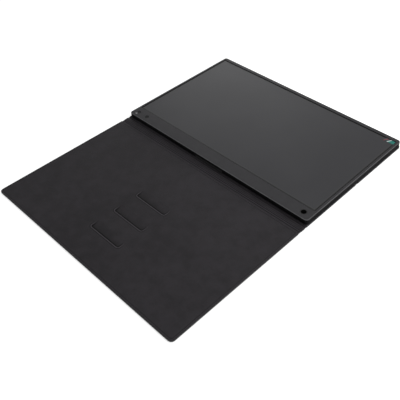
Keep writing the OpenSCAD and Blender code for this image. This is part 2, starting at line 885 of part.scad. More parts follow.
front_bezel();
rear_housing();
screen_surface();
lcd_cell();
optical_films();
light_guide();
reflector_sheet();
panel_tray();
backlight_bar();
panel_tapes();
driver_board();
driver_chips();
main_board();
main_board_chips();
shield_can();
socket_shell();
socket_tongue();
button_board();
switch_bodies();
power_button();
menu_button();
power_plunger();
menu_plunger();
status_led();
light_pipe();
pen_hole_sleeve();
display_flex();
button_flex();
case_screws();
board_screws();
foot_strip();
back_magnets();
closure_keepers();
corner_label();
bonding_sheet();
back_upper_skin();
back_upper_stiffener();
back_upper_lining();
back_lower_skin();
back_lower_stiffener();
back_lower_lining();
back_keepers();
spine_skin();
spine_stiffener();
spine_lining();
front_skin();
front_stiffener();
front_lining();
closure_magnets();
middle_fold();
foot_fold();
front_fold();
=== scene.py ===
import bpy, bmesh, json
from math import sin, cos, pi, radians
from mathutils import Matrix, Vector


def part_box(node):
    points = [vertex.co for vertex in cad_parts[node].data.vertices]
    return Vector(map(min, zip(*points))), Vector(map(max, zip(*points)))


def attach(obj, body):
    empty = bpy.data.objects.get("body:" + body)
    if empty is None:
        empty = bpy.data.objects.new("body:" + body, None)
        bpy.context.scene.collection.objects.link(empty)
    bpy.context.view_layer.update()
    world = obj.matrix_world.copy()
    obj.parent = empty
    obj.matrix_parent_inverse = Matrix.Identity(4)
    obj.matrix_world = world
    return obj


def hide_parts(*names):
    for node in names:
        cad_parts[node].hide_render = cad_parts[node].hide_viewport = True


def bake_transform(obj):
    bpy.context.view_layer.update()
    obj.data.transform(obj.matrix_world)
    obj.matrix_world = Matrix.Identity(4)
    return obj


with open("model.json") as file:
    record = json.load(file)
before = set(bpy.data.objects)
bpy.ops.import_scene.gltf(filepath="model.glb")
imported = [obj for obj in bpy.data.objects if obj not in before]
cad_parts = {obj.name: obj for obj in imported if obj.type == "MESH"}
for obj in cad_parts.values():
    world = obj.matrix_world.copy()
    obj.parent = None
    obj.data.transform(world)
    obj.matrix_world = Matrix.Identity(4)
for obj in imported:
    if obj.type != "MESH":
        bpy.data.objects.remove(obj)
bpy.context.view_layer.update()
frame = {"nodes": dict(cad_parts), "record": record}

mm = 0.001

# The places that the pieces share, in millimetres in the row frame
layout = {
    "footY": 7.0,            # the monitor's foot edge
    "caseWidth": 358.0,
    "caseHeight": 228.0,
    "caseCorner": 5.0,
    "backZ": 3.2,            # underside of the case
    "splitZ": 8.2,           # seam between shell and bezel
    "screenZ": 10.8,
    "faceZ": 11.6,
    "coverWidth": 360.0,
    "coverCorner": 6.0,
    "coverThickness": 2.9,
    "foldZ": 1.45,           # height of the folds' centre lines
    "middleFold": (121.0, 5.0),    # centre line and width of each fold
    "footFold": (4.6, 4.0),
    "frontFold": (-7.4, 6.0),
    "coverTop": 236.0,
    "coverFree": -236.0,
    "buttons": [(-167.5, 17.5), (-148.5, 17.5)],
    "powerMark": (-168.4, 12.6),
    "light": (-158.0, 17.5),
    "penHole": (165.0, 18.0),
    "socket": (47.0, 5.9),   # Y and Z of the socket's middle
}


# Shader maths

class Wire:
    # one output socket; sums and products on it add Math nodes
    def __init__(self, finish, socket):
        self.finish = finish
        self.socket = socket

    def maths(self, operation, first, second=0.0):
        made = self.finish.add("ShaderNodeMath", {"operation": operation}, {0: first, 1: second})
        return made["Value"]

    def __add__(self, other): return self.maths("ADD", self, other)
    def __radd__(self, other): return self.maths("ADD", other, self)
    def __sub__(self, other): return self.maths("SUBTRACT", self, other)
    def __rsub__(self, other): return self.maths("SUBTRACT", other, self)
    def __mul__(self, other): return self.maths("MULTIPLY", self, other)
    def __rmul__(self, other): return self.maths("MULTIPLY", other, self)
    def __pow__(self, other): return self.maths("POWER", self, other)
    def __abs__(self): return self.maths("ABSOLUTE", self)


class Made:
    # a new node; its outputs are read by name as wires
    def __init__(self, finish, node):
        self.finish = finish
        self.node = node

    def __getitem__(self, name):
        return Wire(self.finish, self.node.outputs[name])


class Finish:
    # a material with one Principled shader
    def __init__(self, name, constants):
        self.material = bpy.data.materials.new(name)
        self.material.use_nodes = True
        self.tree = self.material.node_tree
        self.shader = self.tree.nodes["Principled BSDF"]
        for socket, value in constants.items():
            self.shader.inputs[socket].default_value = value

    def add(self, kind, settings=None, inputs=None):
        node = self.tree.nodes.new(kind)
        for key, value in (settings or {}).items():
            setattr(node, key, value)
        for key, value in (inputs or {}).items():
            self.feed(node.inputs[key], value)
        return Made(self, node)

    def feed(self, socket, value):
        if isinstance(value, Wire):
            self.tree.links.new(value.socket, socket)
        else:
            socket.default_value = value

    def place(self, stretch=(1, 1, 1)):
        # position on the piece in millimetres, stretched per axis
        spot = self.add("ShaderNodeTexCoord")["Object"]
        factor = tuple(part / mm for part in stretch)
        return self.add("ShaderNodeVectorMath", {"operation": "MULTIPLY"}, {0: spot, 1: factor})["Vector"]

    def axes(self, spot):
        return self.add("ShaderNodeSeparateXYZ", {}, {"Vector": spot})

    def marked(self, name):
        # value kept with the mesh's points
        return self.add("ShaderNodeAttribute", {"attribute_name": name})["Fac"]

    def noise(self, spot, scale, detail=3.0, roughness=0.55, distortion=0.0):
        return self.add("ShaderNodeTexNoise", {}, {"Vector": spot, "Scale": scale, "Detail": detail,
                        "Roughness": roughness, "Distortion": distortion})["Fac"]

    def pebbles(self, spot, scale, smooth=0.35):
        return self.add("ShaderNodeTexVoronoi", {"feature": "SMOOTH_F1"},
                        {"Vector": spot, "Scale": scale, "Smoothness": smooth})["Distance"]

    def blendColours(self, share, first, second):
        mix = self.add("ShaderNodeMix", {"data_type": "RGBA"})
        # a Mix node's colour sockets go by number
        for index, value in ((0, share), (6, first), (7, second)):
            if isinstance(value, tuple) and len(value) == 3:
                value = value + (1,)
            self.feed(mix.node.inputs[index], value)
        return Wire(self, mix.node.outputs[2])

    def between(self, wire, low=0.3, high=0.7, toLow=0.0, toHigh=1.0):
        # smooth step; a noise lies mostly between 0.3 and 0.7
        return self.add("ShaderNodeMapRange", {"interpolation_type": "SMOOTHSTEP"}, {
            "Value": wire, "From Min": low, "From Max": high, "To Min": toLow, "To Max": toHigh})["Result"]

    def beyond(self, wire, edge, soft):
        return self.between(wire, edge - soft, edge + soft)

    def within(self, wire, edge, soft):
        return self.between(wire, edge - soft, edge + soft, 1.0, 0.0)

    def band(self, wire, low, high, soft):
        return self.beyond(wire, low, soft) * self.within(wire, high, soft)

    def either(self, first, second):
        return first + second - first * second

    def larger(self, first, second):
        return self.add("ShaderNodeMath", {"operation": "MAXIMUM"}, {0: first, 1: second})["Value"]

    def roughened(self, wire, span, middle=0.0, low=0.3, high=0.7):
        # roughness that varies over a span about its middle
        return self.between(wire, low, high, middle + span[0], middle + span[1])

    def raised(self, height, distance):
        return self.add("ShaderNodeBump", {}, {"Height": height, "Distance": distance * mm})["Normal"]

    def rubbed(self, spot):
        # share of the paler painted highlight along the edges, uneven along them
        uneven = self.noise(spot, scale=0.14)
        return self.between(self.marked("edgeHighlight"), 0.05, 0.95) * self.between(uneven, 0.2, 0.75, toLow=0.55)

    def set(self, **sockets):
        for key, value in sockets.items():
            self.feed(self.shader.inputs[key.replace("_", " ")], value)
        return self.material


# printed power mark: a ring that is open above and a bar; line and gap are half widths
powerShape = {"ring": 1.15, "line": 0.24, "gap": 0.6, "bar": (0.35, 1.65), "soft": 0.06, "barSoft": 0.05}


def powerMark(finish, place, spot):
    s = powerShape
    axes = finish.axes(place)
    across, up = axes["X"] - spot[0], axes["Y"] - spot[1]
    radius = (across * across + up * up) ** 0.5
    closed = finish.either(finish.beyond(abs(across), s["gap"], s["soft"]), finish.within(up, 0, s["soft"]))
    ring = finish.within(abs(radius - s["ring"]), s["line"], s["soft"]) * closed
    bar = finish.within(abs(across), s["line"], s["soft"]) * finish.band(up, *s["bar"], s["barSoft"])
    return finish.either(ring, bar)


# In the looks below, scales are per millimetre, depths are in millimetres and a span is of roughness
plasticLook = {"mottle": 0.09, "patch": 0.03, "span": (-0.04, 0.04), "polish": 0.16}


def mouldedPlastic(name, colour, lighter, roughness, grain=5.0, depth=0.02, gloss=0.5, edge=None, mark=None):
    # spark-eroded plastic: a fine even grain, faint mottling and soft patches in the sheen
    look = plasticLook
    finish = Finish(name, {"Specular IOR Level": gloss})
    spot = finish.place()
    mottle = finish.noise(spot, look["mottle"], detail=4.0)
    fine = finish.noise(spot, grain, detail=2.0, roughness=0.6)
    patch = finish.noise(spot, look["patch"])
    rough = finish.roughened(patch, look["span"], roughness)
    plain = finish.blendColours(finish.between(mottle * 0.6 + fine * 0.4), colour, lighter)
    if edge:
        # handled edges are polished smoother, and painted paler there as a highlight
        rubbed = finish.rubbed(spot)
        plain = finish.blendColours(rubbed, plain, edge)
        rough = rough - rubbed * look["polish"]
    if mark:
        plain = finish.blendColours(powerMark(finish, spot, mark["spot"]), plain, mark["paint"])
    return finish.set(Base_Color=plain, Roughness=rough, Normal=finish.raised(fine, depth))


leatherLook = {
    "pebble": 0.9, "broad": 0.05, "fine": 3.0,
    "wrinkle": 0.9, "along": (0.06, 1.6, 1.6),    # creases that run along a fold
    "span": (-0.06, 0.07), "depth": 0.22,
}


def leatherSkin(name, colour, lighter, roughness, creased=0.0, edge=None):
    # imitation leather: small pebbles with creases between them
    look = leatherLook
    finish = Finish(name, {"Specular IOR Level": 0.32, "Sheen Weight": 0.04, "Sheen Roughness": 0.5})
    spot = finish.place()
    pebble = finish.pebbles(spot, look["pebble"])
    broad = finish.noise(spot, look["broad"], detail=4.0)
    fine = finish.noise(spot, look["fine"])
    height = finish.between(pebble, 0.1, 0.75, 1.0, 0.0) + fine * 0.25
    if creased:
        # wrinkles run along the fold
        wrinkle = finish.noise(finish.place(look["along"]), look["wrinkle"], roughness=0.6, distortion=0.4)
        height = height * 0.6 + wrinkle * creased
    rough = finish.roughened(broad + fine * 0.3, look["span"], roughness, 0.4, 0.9)
    plain = finish.blendColours(finish.between(pebble * 0.7 + broad * 0.6, 0.35, 0.95), lighter, colour)
    if edge:
        # a paler painted highlight along the rim's edge
        plain = finish.blendColours(finish.rubbed(spot), plain, edge)
    return finish.set(Base_Color=plain, Roughness=rough, Normal=finish.raised(height, look["depth"]))


liningLook = {
    "wide": 0.012, "cloud": 0.07, "speck": 2.2,    # the nap's patches and flecks
    "thread": 1.3, "across": (0.5, 2.6, 1), "along": (2.6, 0.5, 1),
    "paintedShading": 0.08, "rubbed": 3.6,                # brightness of the painted shade in pressed lines and of the painted highlight on the ridges
    "span": (-0.05, 0.06), "depth": 0.2,
}


def brushedLining(name, colour, lighter, roughness):
    # thin coated cloth inside the cover: tight cross grain under a soft nap
    look = liningLook
    finish = Finish(name, {"Specular IOR Level": 0.22, "Sheen Weight": 0.03, "Sheen Roughness": 0.6})
    spot = finish.place()
    wide = finish.noise(spot, look["wide"])
    cloud = finish.noise(spot, look["cloud"], detail=5.0, roughness=0.6)
    across, along = (finish.noise(finish.place(look[way]), look["thread"], detail=2.0, roughness=0.5)
                     for way in ("across", "along"))
    grain = across * 0.5 + along * 0.5
    speck = finish.noise(spot, look["speck"], detail=2.0, roughness=0.6)
    share = finish.between(grain * 0.3 + cloud * 0.45 + wide * 0.25, 0.38, 0.62)
    rough = finish.roughened(cloud, look["span"], roughness)
    napped = finish.blendColours(share, colour, lighter)
    # painted shade darkens the pressed lines, and a painted highlight lightens the ridge beside them
    paintedShading = finish.marked("paintedShading")
    for force, level in ((paintedShading, look["paintedShading"]), (-1 * paintedShading, look["rubbed"])):
        tone = tuple(part * level for part in colour)
        napped = finish.blendColours(finish.between(force, 0.0, 1.0), napped, tone)
    return finish.set(Base_Color=napped, Roughness=rough,
                      Normal=finish.raised(grain * 0.7 + speck * 0.5, look["depth"]))


screenLook = {
    "lit": (0.019, 0.019, 0.0222),
    "litLight": (0.024, 0.024, 0.0276),
    "border": (0.003, 0.003, 0.0032),
    "rim": (0.034, 0.034, 0.036),
    "halfWidth": 172.6,
    "low": 24.4,               # the lit area's edges over the foot edge
    "high": 218.6,
    "soft": 0.15,
    "rimInset": 1.1,           # pale line inside the lit area
    "rimSoft": 0.2,
    "etching": 7.0,
    "cloud": 0.01,
    "span": (0.36, 0.42),
    "depth": 0.006,
}


def antiGlareScreen(name):
    # dark panel under an etched matte sheet; the lit area is a little greyer than its black border
    look = screenLook
    finish = Finish(name, {"Specular IOR Level": 0.5, "IOR": 1.5})
    spot = finish.place()
    axes = finish.axes(spot)
    middle = layout["footY"] + (look["low"] + look["high"]) / 2
    halfHeight = (look["high"] - look["low"]) / 2
    sides = ((abs(axes["X"]), look["halfWidth"]), (abs(axes["Y"] - middle), halfHeight))
    insideX, insideY = (finish.within(way, half, look["soft"]) for way, half in sides)
    lit = insideX * insideY
    # thin pale line just inside the lit area, where the sheet ends
    rimX, rimY = (finish.beyond(way, half - look["rimInset"], look["rimSoft"]) for way, half in sides)
    rim = finish.either(rimX, rimY) * lit
    etched = finish.noise(spot, look["etching"], detail=2.0, roughness=0.6)
    cloud = finish.noise(spot, look["cloud"], detail=2.0)
    share = finish.between(cloud * 0.7 + etched * 0.3, 0.35, 0.65)
    panel = finish.blendColours(rim, finish.blendColours(share, look["lit"], look["litLight"]), look["rim"])
    return finish.set(Base_Color=finish.blendColours(lit, look["border"], panel),
                      Roughness=finish.roughened(etched, look["span"]),
                      Normal=finish.raised(etched, look["depth"]))


metalLook = {"lines": 2.0, "stain": 0.2, "span": (-0.06, 0.08), "depth": 0.01}


def brushedMetal(name, colour, lighter, roughness, stretch=(0.2, 3.0, 3.0)):
    look = metalLook
    finish = Finish(name, {"Metallic": 1.0})
    lines = finish.noise(finish.place(stretch), look["lines"], roughness=0.6)
    stain = finish.noise(finish.place(), look["stain"])
    rough = finish.roughened(lines, look["span"], roughness)
    share = finish.between(lines * 0.6 + stain * 0.4, 0.35, 0.65)
    return finish.set(Base_Color=finish.blendColours(share, colour, lighter), Roughness=rough,
                      Normal=finish.raised(lines, look["depth"]))


boardLook = {
    "mask": (0.012, 0.1, 0.04), "track": (0.03, 0.19, 0.08), "pad": (0.75, 0.6, 0.3),
    "trackScale": 0.5, "trackWidth": 0.04, "padScale": 0.6, "padSize": 0.14,
    "cloud": 0.8, "span": (0.28, 0.4), "depth": 0.03,
}


def circuitBoard(name):
    # solder mask over copper tracks and pads
    look = boardLook
    finish = Finish(name, {"Specular IOR Level": 0.5, "Coat Roughness": 0.2})
    spot = finish.place()
    tracks = finish.add("ShaderNodeTexBrick", {"offset": 0.5, "squash": 0.6}, {
        "Vector": spot, "Scale": look["trackScale"], "Mortar Size": look["trackWidth"],
        "Color1": (0, 0, 0, 1), "Color2": (0, 0, 0, 1), "Mortar": (1, 1, 1, 1)})["Fac"]
    pads = finish.within(finish.pebbles(spot, look["padScale"], smooth=0.1), look["padSize"], 0.02)
    colour = finish.blendColours(pads, finish.blendColours(tracks, look["mask"], look["track"]), look["pad"])
    rough = finish.roughened(finish.noise(spot, look["cloud"]), look["span"])
    return finish.set(Base_Color=colour, Roughness=rough, Normal=finish.raised(tracks + pads, look["depth"]))


filmLook = {"streak": 1.0, "along": (0.05, 1.5, 1), "dust": 1.5, "span": (-0.05, 0.05), "depth": 0.005}


def thinFilm(name, colour, lighter, roughness, clear=0.0):
    # optical sheets and adhesive: faint streaks
    look = filmLook
    finish = Finish(name, {"Specular IOR Level": 0.5, "Transmission Weight": clear})
    streak = finish.noise(finish.place(look["along"]), look["streak"])
    dust = finish.noise(finish.place(), look["dust"])
    return finish.set(Base_Color=finish.blendColours(finish.between(streak), colour, lighter),
                      Roughness=finish.roughened(dust, look["span"], roughness),
                      Normal=finish.raised(dust, look["depth"]))


fibreLook = {
    "dark": (0.22, 0.17, 0.1), "light": (0.4, 0.33, 0.22),
    "fibre": 1.2, "along": (0.4, 1.6, 1), "span": (0.82, 0.95), "depth": 0.08,
}


def fibreBoard(name):
    look = fibreLook
    finish = Finish(name, {"Specular IOR Level": 0.2})
    spot = finish.place(look["along"])
    fibres = finish.noise(spot, look["fibre"], detail=5.0, roughness=0.7, distortion=1.0)
    return finish.set(Base_Color=finish.blendColours(finish.between(fibres), look["dark"], look["light"]),
                      Roughness=finish.roughened(fibres, look["span"]),
                      Normal=finish.raised(fibres, look["depth"]))


labelLook = {
    "deep": (0.02, 0.03, 0.035), "deepLight": (0.03, 0.045, 0.05), "red": (0.35, 0.05, 0.06),
    "pale": (0.62, 0.7, 0.7), "teal": (0.004, 0.17, 0.14),
    "lean": 0.55,                                    # the bands' slant, then where they begin and end
    "redBand": (0.45, 1.55), "paleBand": (5.75, 7.35), "tealFrom": 7.4,
    "grain": 3.0, "span": (0.3, 0.38), "depth": 0.004,
}


def blankLabel(name):
    # plain coloured bands on glossy film: a dark field, a red edge, a pale slash and a teal field
    look = labelLook
    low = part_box("corner_label")[0]
    finish = Finish(name, {"Specular IOR Level": 0.5})
    spot = finish.place()
    axes = finish.axes(spot)
    slant = axes["X"] - low.x / mm - (axes["Y"] - low.y / mm) * look["lean"]
    grain = finish.noise(spot, look["grain"], detail=2.0)
    colour = finish.blendColours(finish.between(grain), look["deep"], look["deepLight"])
    colour = finish.blendColours(finish.band(slant, *look["redBand"], 0.05), colour, look["red"])
    colour = finish.blendColours(finish.band(slant, *look["paleBand"], 0.15), colour, look["pale"])
    colour = finish.blendColours(finish.beyond(slant, look["tealFrom"], 0.1), colour, look["teal"])
    return finish.set(Base_Color=colour, Roughness=finish.roughened(grain, look["span"]),
                      Normal=finish.raised(grain, look["depth"]))


foamLook = {"smooth": 0.2, "pores": (0.1, 0.8), "span": (0.05, -0.05), "depth": 0.04}


def foamOrRubber(name, colour, lighter, roughness, pore=1.2, gloss=0.3):
    look = foamLook
    finish = Finish(name, {"Specular IOR Level": gloss})
    pores = finish.pebbles(finish.place(), pore, look["smooth"])
    rough = finish.roughened(pores, look["span"], roughness, *look["pores"])
    return finish.set(Base_Color=finish.blendColours(finish.between(pores, *look["pores"]), lighter, colour),
                      Roughness=rough, Normal=finish.raised(pores, look["depth"]))


finishes = {
    # the bezel's edge colour is a painted highlight along the face's edge
    "bezel": mouldedPlastic("bezelPlastic", (0.0285, 0.0278, 0.0303), (0.035, 0.0341, 0.0372), 0.46,
                            gloss=0.22, edge=(0.13, 0.13, 0.135),
                            mark={"spot": layout["powerMark"], "paint": (0.6, 0.6, 0.61)}),
    "case": mouldedPlastic("casePlastic", (0.005, 0.005, 0.0054), (0.008, 0.008, 0.0085), 0.52, gloss=0.03),
    "screen": antiGlareScreen("antiGlareSheet"),
    "cell": thinFilm("cellGlass", (0.02, 0.022, 0.025), (0.03, 0.032, 0.036), 0.12),
    "film": thinFilm("diffuserFilm", (0.75, 0.75, 0.73), (0.86, 0.86, 0.84), 0.4),
    "guide": thinFilm("lightGuide", (0.75, 0.86, 0.88), (0.86, 0.93, 0.94), 0.15, 0.6),
    "reflector": thinFilm("reflectorFilm", (0.84, 0.84, 0.84), (0.92, 0.92, 0.92), 0.3),
    "tray": brushedMetal("traySteel", (0.5, 0.51, 0.52), (0.66, 0.67, 0.68), 0.38),
    "lamp": thinFilm("lampResin", (0.8, 0.72, 0.3), (0.9, 0.85, 0.5), 0.35),
    "tape": foamOrRubber("foamTape", (0.02, 0.02, 0.02), (0.045, 0.045, 0.045), 0.9),
    "gasket": foamOrRubber("gasketFoam", (0.0012, 0.0012, 0.0013), (0.003, 0.003, 0.0032), 0.95, gloss=0.05),
    "board": circuitBoard("circuitBoard"),
    "chip": mouldedPlastic("chipResin", (0.018, 0.018, 0.02), (0.03, 0.03, 0.033), 0.55, 3.0),
    "steel": brushedMetal("bareSteel", (0.48, 0.48, 0.5), (0.62, 0.62, 0.64), 0.3),
    "screw": brushedMetal("screwSteel", (0.28, 0.28, 0.29), (0.42, 0.42, 0.43), 0.35, (1, 1, 1)),
    "magnet": brushedMetal("nickelPlate", (0.6, 0.6, 0.61), (0.72, 0.72, 0.73), 0.2, (1, 1, 1)),
    "socket_plastic": mouldedPlastic("socketPlastic", (0.012, 0.012, 0.012), (0.02, 0.02, 0.02), 0.5),
    "button": mouldedPlastic("buttonPlastic", (0.005, 0.005, 0.0053), (0.0075, 0.0075, 0.008), 0.5, 6.0,
                             gloss=0.18),
    "plunger": mouldedPlastic("plungerPlastic", (0.55, 0.55, 0.5), (0.68, 0.68, 0.62), 0.5),
    "light_pipe": thinFilm("lightPipe", (0.006, 0.006, 0.007), (0.01, 0.01, 0.012), 0.3),
    "ribbon": thinFilm("ribbonFilm", (0.3, 0.14, 0.03), (0.45, 0.24, 0.06), 0.35),
    "sleeve": mouldedPlastic("sleevePlastic", (0.008, 0.008, 0.008), (0.012, 0.012, 0.012), 0.5),
    "rubber": foamOrRubber("footRubber", (0.012, 0.012, 0.012), (0.022, 0.022, 0.022), 0.8, 2.0),
    "label": blankLabel("labelFilm"),
    "adhesive": thinFilm("bondingFilm", (0.5, 0.49, 0.45), (0.6, 0.59, 0.55), 0.5),
    # the skin's edge colour is a painted highlight along the rim
    "skin": leatherSkin("coverLeather", (0.016, 0.0155, 0.0165), (0.024, 0.0235, 0.0248), 0.45,
                        edge=(0.035, 0.0345, 0.036)),
    "stiffener": fibreBoard("stiffenerBoard"),
    "lining": brushedLining("coverLining", (0.0135, 0.0117, 0.0141), (0.0262, 0.0231, 0.0272), 0.6),
}
foldLeather = leatherSkin("foldLeather", (0.0155, 0.015, 0.0162), (0.022, 0.0214, 0.0228), 0.55, 0.5)

slotOf = {part["node"]: part["material_slot"] for part in frame["record"]["subparts"]}
for nodeName, nodeObject in frame["nodes"].items():
    nodeObject.data.materials.clear()
    nodeObject.data.materials.append(finishes[slotOf[nodeName]])
print("materials on", len(slotOf), "nodes")


# Mesh making, all in millimetres

cornerSteps = 7
leastRadius = 0.05


def cornerLoop(box, inset, z, corners):
    # points round a rectangle, anticlockwise; corners are the radii at its low and its high side
    x0, x1, y0, y1 = box
    low, high = corners
    points = []
    for cx, cy, sx, sy, start, radius in ((x1, y0, 1, -1, -90, low), (x1, y1, 1, 1, 0, high),
                                          (x0, y1, -1, 1, 90, high), (x0, y0, -1, -1, 180, low)):
        r = max(radius - inset, leastRadius)
        px, py = cx - sx * (r + inset), cy - sy * (r + inset)
        for k in range(cornerSteps + 1):
            angle = radians(start + 90 * k / cornerSteps)
            points.append((px + r * cos(angle), py + r * sin(angle), z))
    return points


def loopsOf(box, corners):
    return lambda inset, z: cornerLoop(box, inset, z, corners)


def quarter(fromInset, fromZ, toInset, toZ, bulge, steps=5):
    # rounded edge between two profile points; bulge is the corner that the arc leans to
    points = []
    for k in range(steps + 1):
        t = k / steps * pi / 2
        a, b = sin(t), cos(t)
        inset = bulge[0] + (fromInset - bulge[0]) * (1 - a) + (toInset - bulge[0]) * (1 - b)
        z = bulge[1] + (fromZ - bulge[1]) * (1 - a) + (toZ - bulge[1]) * (1 - b)
        points.append((inset, z))
    return points


def joinRings(mesh, rings, closed=False, capped=False):
    # closed joins the last ring to the first one, capped fills both ends
    made = [[mesh.verts.new(Vector(point) * mm) for point in ring] for ring in rings]
    pairs = list(zip(made, made[1:])) + ([(made[-1], made[0])] if closed else [])
    for lower, upper in pairs:
        count = len(lower)
        for k in range(count):
            mesh.faces.new((lower[k], lower[(k + 1) % count], upper[(k + 1) % count], upper[k]))
    if capped:
        mesh.faces.new(made[0])
        mesh.faces.new(made[-1])
    return made


def joinGrid(mesh, grid, material=0):
    for row, above in zip(grid, grid[1:]):
        for k in range(len(row) - 1):
            mesh.faces.new((row[k], row[k + 1], above[k + 1], above[k])).material_index = material


def rimOf(grid):
    return grid[0] + [row[-1] for row in grid[1:]] + grid[-1][-2::-1] + [row[0] for row in grid[-2:0:-1]]


sharpAngle = 35


def finishMesh(mesh, name, material, smoothAngle=sharpAngle):
    bmesh.ops.recalc_face_normals(mesh, faces=mesh.faces)
    data = bpy.data.meshes.new(name)
    mesh.to_mesh(data)
    mesh.free()
    for face in data.polygons:
        face.use_smooth = True
    data.set_sharp_from_angle(angle=radians(smoothAngle))
    piece = bpy.data.objects.new(name, data)
    bpy.context.scene.collection.objects.link(piece)
    piece.data.materials.append(material)
    return piece


def markEdgeHighlight(piece, box, corners, band, low):
    # "edgeHighlight" is 1 in a band along the outline's edge, above a height, where a paler highlight is
    # painted
    x0, x1, y0, y1 = box
    mark = piece.data.attributes.new("edgeHighlight", "FLOAT", "POINT")
    values = []
    for vertex in piece.data.vertices:
        x, y, z = vertex.co / mm
        radius = corners[0] if y < (y0 + y1) / 2 else corners[1]
        qx = abs(x - (x0 + x1) / 2) - (x1 - x0) / 2 + radius
        qy = abs(y - (y0 + y1) / 2) - (y1 - y0) / 2 + radius
        inset = radius - (max(qx, 0) ** 2 + max(qy, 0) ** 2) ** 0.5 - min(max(qx, qy), 0)
        values.append(1.0 if inset < band and z > low else 0.0)
    mark.data.foreach_set("value", values)
    return piece


def turned(name, profile, place, steps):
    # a round solid from (radius, height) points, closed at both ends
    x, y, z = place
    angles = [2 * pi * k / steps for k in range(steps)]
    mesh = bmesh.new()
    joinRings(mesh, [[(x + radius * cos(angle), y + radius * sin(angle), z + height) for angle in angles]
                     for radius, height in profile], capped=True)
    return finishMesh(mesh, name, finishes["button"])


def carve(piece, cutters):
    # cuts holes and keeps the result as the piece's own mesh
    for cutter in cutters:
        cut = piece.modifiers.new("cut", "BOOLEAN")
        cut.object = cutter
        cut.operation = "DIFFERENCE"
        cut.solver = "EXACT"
    bpy.context.view_layer.update()
    shape = bpy.data.meshes.new_from_object(piece.evaluated_get(bpy.context.evaluated_depsgraph_get()))
    material = piece.data.materials[0]
    piece.modifiers.clear()
    old = piece.data
    piece.data = shape
    bpy.data.meshes.remove(old)
    shape.materials.clear()
    shape.materials.append(material)
    for face in shape.polygons:
        face.use_smooth = True
        face.material_index = 0
    shape.set_sharp_from_angle(angle=radians(sharpAngle))
    for cutter in cutters:
        bpy.data.objects.remove(cutter, do_unlink=True)
    return piece


def flare(radius, low, high, chamfer):
    # hole cutter profile that widens at the face and ends above it
    return [(radius, low), (radius, high - chamfer), (radius + chamfer, high), (radius + chamfer, high + 1)]


footY = layout["footY"]
caseLeft = -layout["caseWidth"] / 2
caseBox = (caseLeft, -caseLeft, footY, footY + layout["caseHeight"])
caseCorners = (layout["caseCorner"],) * 2
roundSteps, smallSteps = 48, 24    # sides of large and small holes


# Bezel: one moulded frame with a chin, its holes softened at the face

bezelShape = {
    "window": (-175.0, 175.0, footY + 21.5, footY + 221.1),
    "windowCorner": 1.2,
    # profiles, as inset and height: over the seam, under the face, down the window, on the sheet
    "seamSteps": [(0.35, 0), (0.35, 0.11), (0.06, 0.22), (0, 0.34)],
    "edgeSteps": [(0, -0.84), (0.05, -0.7), (0.7, -0.05), (0.86, 0), (1.3, 0)],
    "windowSteps": [(-0.8, 0), (-0.26, 0), (-0.1, -0.05), (-0.02, -0.16), (0, -0.3)],
    "backSteps": [(0, 0.01), (-1.0, 0)],
    "wall": 1.4,
    "holesFrom": 9,         # height where the hole cutters start
    "penHole": 4.8,         # radii of the holes
    "keyHole": 3.35,
    "lightHole": 0.6,
    "holeEdge": 0.22,
    "lightEdge": 0.08,
    "edgeHighlight": 0.77,           # width and depth of the edge band with the painted highlight
    "wallTop": 0.72,        # the dark side walls end this far below the face
    "wallSlope": 0.3,
    "gasket": [(0.03, -0.03), (0.03, 0.12), (0.78, 0.12), (0.9, 0.04), (0.9, -0.03)],
}
windowLoop = loopsOf(bezelShape["window"], (bezelShape["windowCorner"],) * 2)


def makeBezel():
    s = bezelShape
    seam, face, sheet = layout["splitZ"], layout["faceZ"], layout["screenZ"]
    outline = loopsOf(caseBox, caseCorners)
    rings = [outline(inset, seam + z) for inset, z in s["seamSteps"]]
    rings += [outline(inset, face + z) for inset, z in s["edgeSteps"]]
    rings += [windowLoop(inset, face + z) for inset, z in s["windowSteps"]]
    rings += [windowLoop(inset, sheet + z) for inset, z in s["backSteps"]]
    rings += [outline(s["wall"], sheet), outline(s["wall"], seam)]
    mesh = bmesh.new()
    joinRings(mesh, rings, closed=True)
    piece = finishMesh(mesh, "bezelFrame", finishes["bezel"])
    holes = [("penCut", layout["penHole"], s["penHole"], s["holeEdge"], roundSteps)]
    holes += [("keyCut%d" % k, spot, s["keyHole"], s["holeEdge"], roundSteps)
              for k, spot in enumerate(layout["buttons"])]
    holes += [("lightCut", layout["light"], s["lightHole"], s["lightEdge"], smallSteps)]
    carve(piece, [turned(name, flare(radius, s["holesFrom"], face, edge), (*spot, 0), sides)
                  for name, spot, radius, edge, sides in holes])
    piece.data.materials.append(finishes["case"])    # side walls are as dark as the shell below them
    for side in piece.data.polygons:
        steep = abs(side.normal.z) < s["wallSlope"]
        side.material_index = int(steep and side.center.z < (face - s["wallTop"]) * mm)
    return markEdgeHighlight(piece, caseBox, caseCorners, s["edgeHighlight"], face - s["edgeHighlight"])


# Rear shell: a shallow tray under the bezel with the socket's mouth, screw wells and the foot's groove

shellShape = {
    "edge": 0.8,
    "flat": 0.3,
    # profile under the seam, as inset and height from it
    "seamSteps": [(0, -0.24), (0.06, -0.12), (0.35, -0.06), (0.35, 0), (1.4, 0)],
    "wall": 1.4,
    "floor": 1,
    "well": [(1.75, -1), (1.75, 0), (1.6, 0.15), (1.6, 0.66)],    # radius and height of the screw wells
    "screws": [(-120, 3.9), (-40, 3.9), (40, 3.9), (120, 3.9), (-150, 224.6), (0, 224.6), (150, 224.6)],
    "penCut": [(4.8, -1), (4.8, 4)],
    "socketHalf": 4.45,
    "socketRadius": 1.6,
    "mouth": [(-2, 0.4), (0, 0.4), (0.28, 0.12), (3.2, 0.12)],    # depth, and gap round the socket
    "footLength": 54.0,
    "footDepth": 0.6,
    "footGap": 0.05,
}


